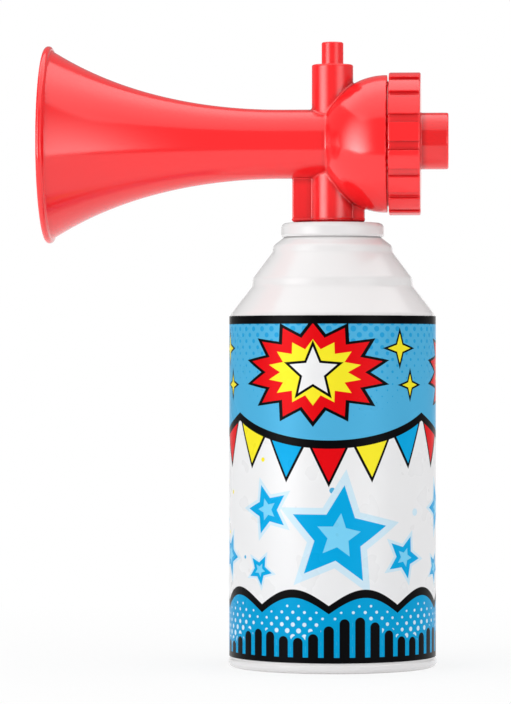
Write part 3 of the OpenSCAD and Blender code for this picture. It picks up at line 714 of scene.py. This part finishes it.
collar_thread = thread("collar_thread", collar_root_r - ridge_sunk, collar_crest_r, collar_turns, shift=0)
fitted(collar_thread, red_plastic, "head", "red_plastic")


# The diaphragm's stack on the collar: a rubber ring, the thin clear disc that beats against the nozzle,
# and a slip ring that the cap presses on. They lie loose in the cap and are clamped by its turn.
clear_film = surface("clear_film", srgb(222, 226, 230), rough=0.12, patch=8, cloud=0.02, grain=0.6,
                     Transmission_Weight=0.6)
dressed(rubber, "seat_gasket")
dressed(clear_film, "diaphragm")
dressed(white_nylon, "clamp_ring")


# The cap: a red moulded screw cap with sixteen grip flutes, closed behind by an end wall that carries a
# hollow, vented stub. A thread inside it runs on the collar's.
cap_r, cap_x, cap_end_x, cap_floor_x, cap_bore_r = 22.85, 18.1, 28.2, 26.2, 20.68
flutes, flute_half, flute_depth, flute_below = 16, 1.25, 1.1, math.radians(4.2)
flute_draft, flute_lean = 0.1, 1.005
stub_r, stub_x, stub_lift, stub_wall, vent_r = 9.05, 37.1, 0.9, 2.0, 1.5
stub_start_x, hollow_start_x = cap_floor_x + 0.2, cap_floor_x - 1
flute_edge, drum_edge, stub_edge, inner_edge, stub_fillet = 0.2, 0.45, 0.6, 0.3, 0.4
cap_crest_r, cap_turns = 20.46, 1.5


def cap_body(x, y, z):
    """How far a point lies outside the cap."""
    w = z - horn_z
    out, beside = np.hypot(y, w), np.hypot(y, w - stub_lift)
    part = 2 * math.pi / flutes
    turn = (np.arctan2(w, -y) + flute_below + part / 2) % part - part / 2
    across, deep = out * np.sin(turn), out * np.cos(turn) - (cap_r - flute_depth)
    flank = (np.abs(across) - flute_half - flute_draft * deep) / flute_lean
    drum = trimmed(out - cap_r, -np.maximum(flank, -deep), flute_edge)
    drum = trimmed(drum, between(x, cap_x, cap_end_x), drum_edge)
    drum = trimmed(drum, -np.maximum(out - cap_bore_r, x - cap_floor_x), inner_edge)
    stub = trimmed(beside - stub_r, np.maximum(x - stub_x, stub_start_x - x), stub_edge)
    hollow = np.maximum(beside - stub_r + stub_wall, np.maximum(x - stub_x + stub_wall, hollow_start_x - x))
    vent = np.maximum(beside - vent_r, cap_floor_x - x)
    cap = trimmed(joined(drum, stub, stub_fillet), -hollow, inner_edge)
    return trimmed(cap, -vent, inner_edge)


cap = cast("screw_cap", cap_body, (
    graded((17.4, 0.36), (29, 0.5), 37.7), graded((-23.5, 0.42), 23.5),
    graded((horn_z - 23.5, 0.42), horn_z + 23.5)))
fitted(cap, red_plastic, "cap", "red_plastic", "diaphragm_cap")
cap_thread = thread("cap_thread", cap_bore_r + ridge_sunk, cap_crest_r, cap_turns, shift=0.5)
fitted(cap_thread, red_plastic, "cap", "red_plastic")


# The button and what it works: a red button on a spring in the column's top, a steel rod through the
# throat in its seal and bush, and the nylon socket that the rod pushes down on the stem.
button_r, button_foot_round, button_top_round = 3.5, 0.3, 0.6
button_low, button_high = (corner.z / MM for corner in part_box("push_button"))
rod_socket_r, rod_socket_z, rod_socket_round = 1.55, button_low + 5.05, 0.1
button_line = [
    (0, rod_socket_z, 0), (rod_socket_r, rod_socket_z, 0), (rod_socket_r, button_low, rod_socket_round),
    (button_r, button_low, button_foot_round), (button_r, button_high, button_top_round),
    (0, button_high, 0)]
button = turned("button", rounded(button_line), around=72)
fitted(button, red_plastic, "plunger", "red_plastic", "push_button")
spring_low, spring_high = (corner.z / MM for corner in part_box("button_spring"))
button_spring = coil("button_spring_wire", middle_r=3.17, wire_r=0.25, low=spring_low, high=spring_high,
                     turns=3.5)
fitted(button_spring, bright_wire, "head", "spring_steel", "button_spring")
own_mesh(button_spring)
steel_rod = surface("steel_rod", srgb(190, 191, 194), rough=0.2, patch=4, cloud=0.05, grain=0.2,
                    Metallic=1.0)
dressed(steel_rod, "push_rod")
dressed(rubber, "rod_seal", "socket_seal")
dressed(white_nylon, "seal_bush", "stem_socket")


# The stage: a pale table with a white card far behind it in a white room, lit by two tall soft boxes
# beside the camera, a broad one overhead and a weak fill on the right. The camera stands level with the
# object's middle, a little right of square on.
IMAGE_W, IMAGE_H = 511, 704
FOCAL_PX, CAN_AXIS_PX, TABLE_PX = 3700, 332.5, 665.5
mm_per_px = 0.32
camera_turn = math.radians(3.2)
toward = np.array((math.sin(camera_turn), -math.cos(camera_turn), 0))
right = np.array((math.cos(camera_turn), math.sin(camera_turn), 0))
aside = (CAN_AXIS_PX - IMAGE_W / 2) * mm_per_px * MM
height = (TABLE_PX - IMAGE_H / 2) * mm_per_px * MM
lens = bpy.data.cameras.new("camera")
lens.sensor_fit, lens.sensor_height = "VERTICAL", 36
lens.lens = FOCAL_PX / IMAGE_H * lens.sensor_height
lens.clip_start, lens.clip_end = 0.05, 20
camera = bpy.data.objects.new("camera", lens)
camera.location = toward * FOCAL_PX * mm_per_px * MM - right * aside + np.array((0, 0, height))
camera.rotation_euler = (math.pi / 2, 0, camera_turn)
bpy.context.scene.collection.objects.link(camera)
bpy.context.scene.camera = camera


def lit_by(lamp, falloff):
    """Gives a lamp's face an uneven glow, from its width and height from 0 to 1."""
    lamp.use_nodes = True
    tree = lamp.node_tree
    split = tree.nodes.new("ShaderNodeSeparateXYZ")
    tree.links.new(tree.nodes.new("ShaderNodeNewGeometry").outputs["Parametric"], split.inputs[0])
    glow = falloff(Measure(tree, split.outputs["X"]), Measure(tree, split.outputs["Y"]))
    tree.links.new(glow.socket, tree.nodes["Emission"].inputs["Strength"])


def soft_box(name, azimuth, low, high, distance, width, glow, falloff=None):
    """An upright soft box as a lamp, by its direction as the camera sees it and how its glow falls off.
    Sizes in metres."""
    a = math.radians(azimuth) + camera_turn
    lamp = bpy.data.lights.new(name, "AREA")
    lamp.shape, lamp.size, lamp.size_y = "RECTANGLE", width, high - low
    lamp.energy = glow * math.pi * width * (high - low)
    box = bpy.data.objects.new(name, lamp)
    box.location = (distance * math.sin(a), -distance * math.cos(a), (low + high) / 2)
    box.rotation_euler = (math.pi / 2, 0, a)
    if falloff:
        lit_by(lamp, falloff)
    bpy.context.scene.collection.objects.link(box)
    return box


def side_glow(across, up):
    """Brightest in the middle and low down."""
    bell = ((across - 0.5) * math.pi).by("COSINE").over(0)
    return bell * bell * bell * (-up + 1) * (-up + 1)


def top_glow(across, back):
    """Dim at the front edge, brightest a little behind the middle, and less bright again at the back."""
    front_half, rise, fall, brightest = back * 0.86 + 0.44, back * 2 - 0.13, back * -1.7 + 2.55, 1.25
    return front_half.over(rise).under(fall).under(brightest)


soft_box("left_box", azimuth=-55, low=-0.15, high=1.5, distance=1.1, width=1.7, glow=6.9, falloff=side_glow)
soft_box("right_box", azimuth=42, low=-0.08, high=1.5, distance=1.1, width=1.6, glow=2.9, falloff=side_glow)
fill = soft_box("fill", azimuth=85, low=-0.2, high=1.0, distance=1.3, width=1.2, glow=0.9)
fill.visible_glossy = False
top_w, top_d, top_y, top_z, top_strength = 2.4, 2.1, -0.15, 1.25, 1.25
top_lamp = bpy.data.lights.new("top_panel", "AREA")
top_lamp.shape, top_lamp.size, top_lamp.size_y = "RECTANGLE", top_w, top_d
top_lamp.energy = top_strength * math.pi * top_lamp.size * top_lamp.size_y
lit_by(top_lamp, top_glow)
top_panel = bpy.data.objects.new("top_panel", top_lamp)
top_panel.location = (0, top_y, top_z)
bpy.context.scene.collection.objects.link(top_panel)


def pale(name, near, far):
    """White paper that takes shadows, and shows this much of plain white to the camera near and far from
    the can."""
    near_m, far_m = 0.04, 0.3
    gloss_near_m, gloss_far_m, gloss_near = 0.25, 1.0, 0.78
    material = bpy.data.materials.new(name)
    material.use_nodes = True
    tree = material.node_tree
    nodes, links = tree.nodes, tree.links
    paper = nodes["Principled BSDF"]
    fibre = nodes.new("ShaderNodeTexNoise")
    fibre.inputs["Scale"].default_value = 900
    tint = nodes.new("ShaderNodeValToRGB")
    tint.color_ramp.elements[0].color = srgb(240, 240, 240)
    tint.color_ramp.elements[1].color = srgb(246, 246, 246)
    links.new(fibre.outputs["Fac"], tint.inputs["Fac"])
    links.new(tint.outputs["Color"], paper.inputs["Base Color"])
    paper.inputs["Roughness"].default_value = 0.9
    paper.inputs["Specular IOR Level"].default_value = 0.1
    plain_white = nodes.new("ShaderNodeEmission")
    rays = nodes.new("ShaderNodeLightPath")
    away = nodes.new("ShaderNodeVectorMath")
    away.operation = "LENGTH"
    links.new(nodes.new("ShaderNodeTexCoord").outputs["Object"], away.inputs[0])

    def met(kind, start, end, least, most):
        """How much of plain white this kind of ray meets, from a start to an end distance."""
        fade = nodes.new("ShaderNodeMapRange")
        for socket, value in zip(("From Min", "From Max", "To Min", "To Max"), (start, end, least, most)):
            fade.inputs[socket].default_value = value
        links.new(away.outputs["Value"], fade.inputs["Value"])
        return Measure(tree, rays.outputs[kind]) * Measure(tree, fade.outputs["Result"])

    by_camera = met("Is Camera Ray", near_m, far_m, near, far)
    by_gloss = met("Is Glossy Ray", gloss_near_m, gloss_far_m, gloss_near, 1.0)
    by_glass = met("Is Transmission Ray", near_m, far_m, near, far)
    mix = nodes.new("ShaderNodeMixShader")
    links.new(by_camera.over(by_gloss).over(by_glass).socket, mix.inputs["Fac"])
    links.new(paper.outputs["BSDF"], mix.inputs[1])
    links.new(plain_white.outputs["Emission"], mix.inputs[2])
    links.new(mix.outputs["Shader"], nodes["Material Output"].inputs["Surface"])
    return material


def sheet_of_paper(name, corners, material):
    """A flat sheet from four corners in metres, which isn't part of the object."""
    mesh = bpy.data.meshes.new(name)
    mesh.from_pydata(corners, [], [(0, 1, 2, 3)])
    mesh.materials.append(material)
    paper = bpy.data.objects.new(name, mesh)
    bpy.context.scene.collection.objects.link(paper)


front, back, half_w, card_low, card_high = -0.43, 3.0, 1.3, -0.5, 0.6
table_corners = [(-half_w, front, 0), (half_w, front, 0), (half_w, back, 0), (-half_w, back, 0)]
sheet_of_paper("table", table_corners, pale("table_paper", near=0.8, far=1.0))
card_corners = [(-half_w, back, card_low), (half_w, back, card_low), (half_w, back, card_high),
                (-half_w, back, card_high)]
sheet_of_paper("card", card_corners, pale("card_paper", near=1.0, far=1.0))
gloss_share, soft_light = 0.3, 0.28
world = bpy.data.worlds.new("room")
world.use_nodes = True
world.node_tree.nodes["Background"].inputs["Color"].default_value = (1, 1, 1, 1)
rays = world.node_tree.nodes.new("ShaderNodeLightPath")
to_camera, to_glass, to_gloss = (Measure(world.node_tree, rays.outputs[kind])
                                 for kind in ("Is Camera Ray", "Is Transmission Ray", "Is Glossy Ray"))
seen = to_camera.over(to_glass).over(to_gloss * gloss_share).over(soft_light)
world.node_tree.links.new(seen.socket, world.node_tree.nodes["Background"].inputs["Strength"])
bpy.context.scene.world = world
bpy.context.scene.view_settings.view_transform = "Standard"
